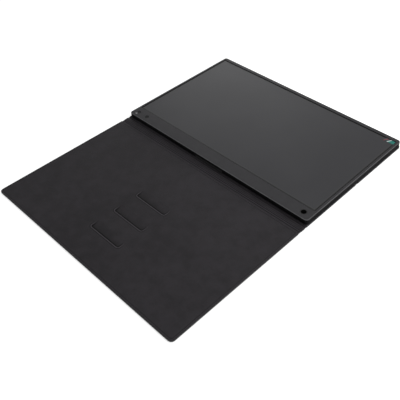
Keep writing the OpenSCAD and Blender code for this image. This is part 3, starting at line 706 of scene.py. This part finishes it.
def makeMouthCut():
    # the socket's mouth, with a small chamfer at the outside
    s = shellShape
    middleY, middleZ = layout["socket"]
    half = s["socketHalf"] - s["socketRadius"]
    angles = [2 * pi * (k + 0.5) / smallSteps for k in range(smallSteps)]
    rings = []
    for depth, gap in s["mouth"]:
        r = s["socketRadius"] + gap
        rings.append([(caseLeft + depth, middleY + (half if cos(angle) > 0 else -half) + r * cos(angle),
                       middleZ + r * sin(angle)) for angle in angles])
    mesh = bmesh.new()
    joinRings(mesh, rings, capped=True)
    return finishMesh(mesh, "mouthCut", finishes["case"])


def makeFootCut():
    s = shellShape
    foot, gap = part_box("foot_strip"), s["footGap"]
    half, low, high = s["footLength"] / 2 + gap, foot[0].z / mm - gap, foot[1].z / mm + gap
    mesh = bmesh.new()
    joinRings(mesh, [[(-half, y, low), (half, y, low), (half, y, high), (-half, y, high)]
                     for y in (footY - 1, footY + s["footDepth"])], capped=True)
    return finishMesh(mesh, "footCut", finishes["case"])


def makeShell():
    s = shellShape
    low, seam, e = layout["backZ"], layout["splitZ"], s["edge"]
    outline = loopsOf(caseBox, caseCorners)
    rings = [outline(inset, z) for inset, z in [(e + s["flat"], low)] + quarter(e, low, 0, low + e, (0, low))]
    rings += [outline(inset, seam + z) for inset, z in s["seamSteps"]]
    rings += [outline(s["wall"], low + s["floor"])]
    mesh = bmesh.new()
    joinRings(mesh, rings, capped=True)
    piece = finishMesh(mesh, "rearShell", finishes["case"])
    cutters = [turned("wellCut%d" % k, s["well"], (x, footY + y, low), smallSteps)
               for k, (x, y) in enumerate(s["screws"])]
    cutters += [turned("penShellCut", s["penCut"], (*layout["penHole"], low), roundSteps)]
    return carve(piece, cutters + [makeMouthCut(), makeFootCut()])


def makeGasketAndShade():
    # thin black foam line between the bezel's window and the sheet; its near-black also stands in for the
    # shade in the window's corner
    rings = [windowLoop(inset, layout["screenZ"] + z) for inset, z in bezelShape["gasket"]]
    mesh = bmesh.new()
    joinRings(mesh, rings, closed=True)
    return finishMesh(mesh, "windowGasketAndShade", finishes["gasket"])


gasket = makeGasketAndShade()
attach(gasket, "monitor")
bezelPiece = makeBezel()
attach(bezelPiece, "monitor")
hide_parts("front_bezel")
shellPiece = makeShell()
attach(shellPiece, "monitor")
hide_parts("rear_housing")
print("case made")


# Buttons: dished caps on their flanges

buttonShape = {
    "radius": 3.2,
    "flange": 3.8,
    "flangeLow": 10.05,
    "flangeHigh": 10.75,
    "edge": 0.25,
    "edgeSteps": 5,
    "dish": 0.18,
    "dishSteps": 8,
    "centre": 0.02,     # radius of the small face in the middle
}


def makeButton(name, spot):
    s = buttonShape
    top, edge, flat = layout["faceZ"], s["edge"], s["radius"] - s["edge"]
    profile = [(s["flange"], s["flangeLow"]), (s["flange"], s["flangeHigh"]), (s["radius"], s["flangeHigh"])]
    for k in range(s["edgeSteps"] + 1):
        t = k / s["edgeSteps"] * pi / 2
        profile.append((s["radius"] - edge * (1 - cos(t)), top - edge * (1 - sin(t))))
    for k in range(1, s["dishSteps"]):
        left = 1 - k / s["dishSteps"]
        profile.append((flat * left + s["centre"], top - s["dish"] * (1 - left ** 2)))
    return turned(name, profile, (*spot, 0), roundSteps)


for name, spot in zip(("power", "menu"), layout["buttons"]):
    cap = makeButton(name + "Cap", spot)
    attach(cap, name + "_key")
    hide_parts(name + "_button")
print("buttons made")


# Cover panels: leather skins turned up round their boards, with linings inside

panelShape = {
    "bottomEdge": 0.7,
    "flat": 0.4,
    "rimHeight": 2.7,
    "rimEdge": 0.45,
    "turnedEdge": 1.0,      # width of the leather that is turned over the board
    "turnedSteps": [(0.88, 0), (1.0, -0.1)],    # its inner edge, as inset and height from the rim
    "floor": 0.8,
    "foldCorner": 0.3,
    "foldGap": 0.03,
    "edgeHighlight": (0.95, 0.7),    # share of the rim's edge with the painted highlight, across and down
    "sharp": 50,
}
halfCover = layout["coverWidth"] / 2


def foldEdges(name):
    middle, width = layout[name]
    return middle - width / 2, middle + width / 2


def makeSkin(name, y0, y1, foldLow, foldHigh, low=0.0, rim=panelShape["rimHeight"]):
    s = panelShape
    free, small, gap = layout["coverCorner"], s["foldCorner"], s["foldGap"]
    corners = (small if foldLow else free, small if foldHigh else free)
    box = (-halfCover, halfCover, y0 + (gap if foldLow else 0), y1 - (gap if foldHigh else 0))
    outline = loopsOf(box, corners)
    e, r = s["bottomEdge"], s["rimEdge"]
    profile = [(e + s["flat"], low)] + quarter(e, low, 0, low + e, (0, low))
    profile += quarter(0, rim - r, r, rim, (0, rim)) + [(inset, rim + z) for inset, z in s["turnedSteps"]]
    profile += [(s["turnedEdge"], low + s["floor"])]
    mesh = bmesh.new()
    joinRings(mesh, [outline(inset, z) for inset, z in profile], capped=True)
    piece = finishMesh(mesh, name, finishes["skin"], s["sharp"])
    across, down = s["edgeHighlight"]
    return markEdgeHighlight(piece, box, corners, r * across, rim - r * down)


pocketShape = {
    "length": 57.0,
    "width": 15.0,
    "depth": 1.0,
    "corner": 3.0,
    "soft": 0.5,            # width of the pressed wall
    "stops": [-188.5, -148.5, -108.5],
    # inner crease, ridge and outer crease, as place outside the wall and half width
    "lines": [(-1.1, 1.4), (0.7, 0.95), (2.1, 1.0)],
    "tones": (1.9, 1.4, 0.9),    # how strongly each is painted: shade in the creases, highlight on the ridge
    "groove": 0.3,          # depth of the inner crease
    "outerGroove": 0.3,     # share of it in the outer crease
    "lip": 0.08,            # height of the ridge
    "around": 3.3,          # the lines end this far outside
    "fade": (1.6, 0.35),    # how the lines run out along the pocket's sides
    "shade": (0.9, 0.3),    # strength of the painted shade below the pressed wall, and where on the ramp it ends
}


def smooth(t):
    return t * t * (3 - 2 * t)


def pocketForm(x, y):
    # height of the lining over its flat face, and its painted shading there: shade in the creases and below
    # the wall, highlight (negative) on the ridge
    s = pocketShape
    height, paintedShading = 0.0, 0.0
    creaseTone, ridgeTone, outerTone = s["tones"]
    fadeRate, fadeEnd = s["fade"]
    shadeTone, shadeEnd = s["shade"]
    for stop in s["stops"]:
        u = y - stop
        halfL, halfW = s["length"] / 2, s["width"] / 2
        qx = abs(x) - halfL + s["corner"]
        qy = abs(u - halfW) - halfW + s["corner"]
        outside = (max(qx, 0) ** 2 + max(qy, 0) ** 2) ** 0.5 + min(max(qx, qy), 0) - s["corner"]
        if outside > s["around"]:
            continue
        wall = smooth(min(max(-outside / s["soft"], 0), 1))
        ramp = min(max(1 - u / s["width"], 0), 1)
        crease, ridge, outer = (max(1 - abs(outside - at) / half, 0) for at, half in s["lines"])
        fade = min(max(ramp * fadeRate - fadeEnd, 0), 1)
        height -= wall * ramp * s["depth"] + (crease + outer * s["outerGroove"]) * fade * s["groove"]
        height += smooth(ridge) * fade * s["lip"]
        # painted shade in the inner crease and on the ramp below the wall; painted shade in the outer crease
        # and a painted highlight on the ridge
        paintedShading += min(max(crease * creaseTone * fade, wall * (ramp - shadeEnd) * shadeTone), 1)
        paintedShading += (outer * outerTone - min(ridge * ridgeTone, 1)) * fade
    return height, paintedShading


liningShape = {
    "gap": 0.02,            # beside the turned leather
    "edge": 0.32,
    "edgeSteps": 4,
    "low": 2.1,
    "spineLow": 1.85,
    # line pressed along the edge: inset, height, and painted shading (shade in the groove, a highlight where
    # negative on the strip beside it)
    "border": [(0.8, 0, 0), (1.0, 0.04, -0.9), (1.3, 0.04, -0.9), (1.5, -0.14, 1), (2.1, -0.14, 1),
               (2.35, 0, 0), (2.8, 0, 0)],
    "margin": 8.0,          # from the edges to the pockets' grid
    "foldMargin": 4.0,
    "coarse": 15,           # widest steps of the grid: round the pockets, across them, at their ends
    "middle": 2.5,
    "fine": 0.35,
    "ends": 5,              # length of the finely divided ends
    # rows of the grid past each pocket's stop, as start, end and widest step
    "rows": [(-3.4, 3.6, 0.2), (3.6, 14, 0.6), (14, 16, 0.5)],
    "sharp": 50,
}


almostOne = 0.999    # rounds a count of steps up, unless the steps fit exactly


def evenSteps(start, end, widest):
    count = max(1, int(abs(end - start) / widest + almostOne))
    return [start + (end - start) * k / count for k in range(count)]


def pocketGrid(halfX, low, high):
    # grid lines, close together where the pockets are pressed in
    s = liningShape
    before = s["rows"][0][0]
    half = pocketShape["length"] / 2
    reach, inside = half - before, half - s["ends"]
    xs = evenSteps(-halfX, -reach, s["coarse"]) + evenSteps(-reach, -inside, s["fine"])
    xs += evenSteps(-inside, inside, s["middle"]) + evenSteps(inside, reach, s["fine"])
    xs += evenSteps(reach, halfX, s["coarse"]) + [halfX]
    ys, at = [], low
    for stop in pocketShape["stops"]:
        ys += evenSteps(at, stop + before, s["coarse"])
        for start, end, widest in s["rows"]:
            ys += evenSteps(stop + start, stop + end, widest)
            at = stop + end
    return xs, ys + evenSteps(at, high, s["coarse"]) + [high]


def makeLining(name, y0, y1, foldLow, foldHigh, topZ, lowZ, pockets=False):
    s = liningShape
    inner = panelShape["turnedEdge"] + s["gap"]
    free, small = layout["coverCorner"] - inner, panelShape["foldCorner"]
    halfX, a, b = halfCover - inner, y0 + (0 if foldLow else inner), y1 - (0 if foldHigh else inner)
    outline = loopsOf((-halfX, halfX, a, b), (small if foldLow else free, small if foldHigh else free))
    e = s["edge"]
    profile = [(0, lowZ)] + quarter(0, topZ - e, e, topZ, (0, topZ), s["edgeSteps"])
    start = len(profile)
    profile += [(inset, topZ + height) for inset, height, paintedShading in s["border"]]
    mesh = bmesh.new()
    marked = mesh.verts.layers.float.new("paintedShading")
    made = joinRings(mesh, [outline(inset, z) for inset, z in profile], capped=not pockets)
    for ring, (inset, height, paintedShading) in zip(made[start:], s["border"]):
        for vertex in ring:
            vertex[marked] = paintedShading
    if not pockets:
        return finishMesh(mesh, name, finishes["lining"], s["sharp"])
    xs, ys = pocketGrid(halfX - s["margin"], a + s["foldMargin" if foldLow else "margin"],
                        b - s["foldMargin" if foldHigh else "margin"])
    for ring, level, front in ((made[-1], topZ, True), (made[0], lowZ, False)):
        grid = []
        for y in ys:
            row = []
            for x in xs:
                height, paintedShading = pocketForm(x, y)
                if not front:
                    height, paintedShading = min(height, 0), 0
                vertex = mesh.verts.new(Vector((x, y, level + height)) * mm)
                vertex[marked] = paintedShading
                row.append(vertex)
            grid.append(row)
        joinGrid(mesh, grid)
        edges = [mesh.edges.get((p, q)) or mesh.edges.new((p, q)) for loop in (rimOf(grid), ring)
                 for p, q in zip(loop, loop[1:] + loop[:1])]
        bmesh.ops.triangle_fill(mesh, use_beauty=True, use_dissolve=False, edges=edges)
    return finishMesh(mesh, name, finishes["lining"], s["sharp"])


footLow, footHigh = foldEdges("footFold")
frontLow, frontHigh = foldEdges("frontFold")
middleLow, middleHigh = foldEdges("middleFold")
panels = {
    "backUpper": ("monitor", middleHigh, layout["coverTop"], True, False, "back_upper"),
    "backLower": ("cover_back_lower", footHigh, middleLow, True, True, "back_lower"),
    "front": ("front_cover", layout["coverFree"], frontLow, False, True, "front"),
}
for name, (body, y0, y1, foldLow, foldHigh, node) in panels.items():
    skin = makeSkin(name + "Skin", y0, y1, foldLow, foldHigh)
    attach(skin, body)
    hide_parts(node + "_skin")
    lining = makeLining(name + "Lining", y0, y1, foldLow, foldHigh, layout["coverThickness"],
                        liningShape["low"], name == "front")
    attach(lining, body)
    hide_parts(node + "_lining")
spineLow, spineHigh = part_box("spine_skin")
spineSkin = makeSkin("spineSkin", frontHigh, footLow, True, True, spineLow.z / mm, spineHigh.z / mm)
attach(spineSkin, "spine")
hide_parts("spine_skin")
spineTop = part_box("spine_lining")[1].z / mm
spineLining = makeLining("spineLining", frontHigh, footLow, True, True, spineTop, liningShape["spineLow"])
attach(spineLining, "spine")
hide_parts("spine_lining")
print("cover panels made")


# Folds: soft strips between the panels, pressed in along the middle

foldShape = {
    "top": 2.12,
    "dip": 0.28,
    "low": 0.85,
    "lift": 0.12,
    "tuck": 0.35,           # under the panels beside it
    "sideInset": 0.35,
    "columns": 73,
    "ripple": 0.04,
    "ripplePitch": (0.31, 0.07),
    "groove": 0.2,
    "lines": [1, 1, 1, -0.8, -0.3, 0.6, 1, 1, -0.7, -0.2, -0.6, 1, 1],    # how hard each row is pressed in; the same value paints shade on the cloth, and a highlight where negative
    "sharp": 60,
}


def makeFold(name, fold):
    s = foldShape
    low, high = foldEdges(fold)
    a, b = low - s["tuck"], high + s["tuck"]
    halfX = halfCover - s["sideInset"]
    lastRow, lastColumn = len(s["lines"]) - 1, s["columns"] - 1
    pitch, sway = s["ripplePitch"]
    mesh = bmesh.new()
    marked = mesh.verts.layers.float.new("paintedShading")
    layers = []
    for inside in (True, False):
        layer = []
        for j, line in enumerate(s["lines"]):
            t = j / lastRow
            hollow = sin(pi * t) ** 2
            row = []
            for k in range(s["columns"]):
                x = -halfX + 2 * halfX * k / lastColumn
                z = s["ripple"] * sin(x * pitch + 2 * sin(x * sway)) * hollow
                if inside:
                    z += s["top"] - s["dip"] * hollow - s["groove"] * max(line, 0)
                else:
                    z += s["low"] + s["lift"] * hollow
                vertex = mesh.verts.new(Vector((x, a + (b - a) * t, z)) * mm)
                # the row's painted shading: shade where positive, highlight where negative
                vertex[marked] = line
                row.append(vertex)
            layer.append(row)
        layers.append(layer)
        joinGrid(mesh, layer, int(inside))    # the inner face has the lining's cloth
    upper, lower = (rimOf(layer) for layer in layers)
    for k in range(len(upper)):
        j = (k + 1) % len(upper)
        mesh.faces.new((lower[k], lower[j], upper[j], upper[k]))
    strip = finishMesh(mesh, name, foldLeather, s["sharp"])
    strip.data.materials.append(finishes["lining"])
    return strip, low, high


for fold, lowBody, highBody, node in (("middleFold", "cover_back_lower", "monitor", "middle_fold"),
                                      ("footFold", "spine", "cover_back_lower", "foot_fold"),
                                      ("frontFold", "front_cover", "spine", "front_fold")):
    strip, low, high = makeFold(fold + "Strip", fold)
    low * mm
    high * mm
    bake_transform(strip)
    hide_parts(node)
print("folds made")


# Small soft edges on pieces that keep their CAD shape

edgeSizes = {
    "foot_strip": 0.3, "corner_label": 0.04, "socket_shell": 0.08, "socket_tongue": 0.08,
    "pen_hole_sleeve": 0.12, "light_pipe": 0.06, "case_screws": 0.08, "screen_surface": 0.03,
}
for nodeName, width in edgeSizes.items():
    edge = frame["nodes"][nodeName].modifiers.new("edge", "BEVEL")
    edge.width = width * mm
    edge.segments = 2
    edge.limit_method = "ANGLE"


# Camera at the photograph's angle

cameraPlace = {
    "azimuth": 46.76,
    "elevation": 43.978,
    "roll": -2.493,
    "distance": 0.80926,
    "target": (0.04064, -0.05183, 0.0),
    "sensor": 36,
    "focal": 52.5204,
    "nearest": 0.01,
}


def makeCamera():
    c = cameraPlace
    az, el, roll = radians(c["azimuth"]), radians(c["elevation"]), radians(c["roll"])
    back = Vector((sin(az) * cos(el), -cos(az) * cos(el), sin(el)))
    right = Vector((cos(az), sin(az), 0))
    up = back.cross(right)
    right, up = cos(roll) * right + sin(roll) * up, -sin(roll) * right + cos(roll) * up
    data = bpy.data.cameras.new("photoCamera")
    data.sensor_width = c["sensor"]
    data.lens = c["focal"]
    data.clip_start = c["nearest"]
    camera = bpy.data.objects.new("photoCamera", data)
    turn = Matrix((right, up, back)).transposed().to_4x4()
    camera.matrix_world = Matrix.Translation(Vector(c["target"]) + back * c["distance"]) @ turn
    bpy.context.scene.collection.objects.link(camera)
    bpy.context.scene.camera = camera


makeCamera()


# Floor, world and lamps

studio = {
    "world": 0.5,
    "floorSize": 6,
    "floorZ": -0.0001,
    "floorColour": (0.8, 0.8, 0.8),
    "floorGlow": 0.6,
    "lamps": [  # name, place, aim, size, power
        ("backLamp", (-1.1, 1.35, 0.4), (0, 0.1, 0), 0.9, 3.6),
        ("keyLamp", (0.34, 0.24, 0.6), (0.08, 0, 0), 0.5, 2.0),
    ],
}


def makeFloor():
    # the paper looks white to the camera and in reflections, and keeps the object's shadow
    far = studio["floorSize"]
    mesh = bmesh.new()
    mesh.faces.new([mesh.verts.new((x, y, studio["floorZ"]))
                    for x, y in ((-far, -far), (far, -far), (far, far), (-far, far))])
    finish = Finish("floorPaper", {"Specular IOR Level": 0.0, "Roughness": 1.0, "Emission Strength": 1.0,
                                   "Base Color": studio["floorColour"] + (1,)})
    ray = finish.add("ShaderNodeLightPath")
    direct = finish.larger(ray["Is Camera Ray"], ray["Is Glossy Ray"])
    seen = finish.larger(direct, ray["Is Transmission Ray"])
    finish.set(Emission_Color=finish.blendColours(seen, (0, 0, 0), (studio["floorGlow"],) * 3))
    floor = finishMesh(mesh, "studioFloor", finish.material)


def makeWorld():
    world = bpy.data.worlds.new("studioWorld")
    world.use_nodes = True
    tree = world.node_tree
    background = tree.nodes["Background"]
    background.inputs["Color"].default_value = (1, 1, 1, 1)
    ray = tree.nodes.new("ShaderNodeLightPath")
    level = tree.nodes.new("ShaderNodeMapRange")
    level.inputs["To Min"].default_value = studio["world"]
    level.inputs["To Max"].default_value = 1.0
    tree.links.new(ray.outputs["Is Camera Ray"], level.inputs["Value"])
    tree.links.new(level.outputs["Result"], background.inputs["Strength"])
    bpy.context.scene.world = world


def makeLamp(name, place, aim, size, power):
    data = bpy.data.lights.new(name, "AREA")
    data.size = size
    data.energy = power
    lamp = bpy.data.objects.new(name, data)
    lamp.location = place
    lamp.rotation_euler = (Vector(aim) - Vector(place)).to_track_quat("-Z", "Y").to_euler()
    bpy.context.scene.collection.objects.link(lamp)


makeFloor()
makeWorld()
for values in studio["lamps"]:
    makeLamp(*values)
bpy.context.scene.view_settings.view_transform = "Standard"
print("studio made")

bpy.context.view_layer.update()
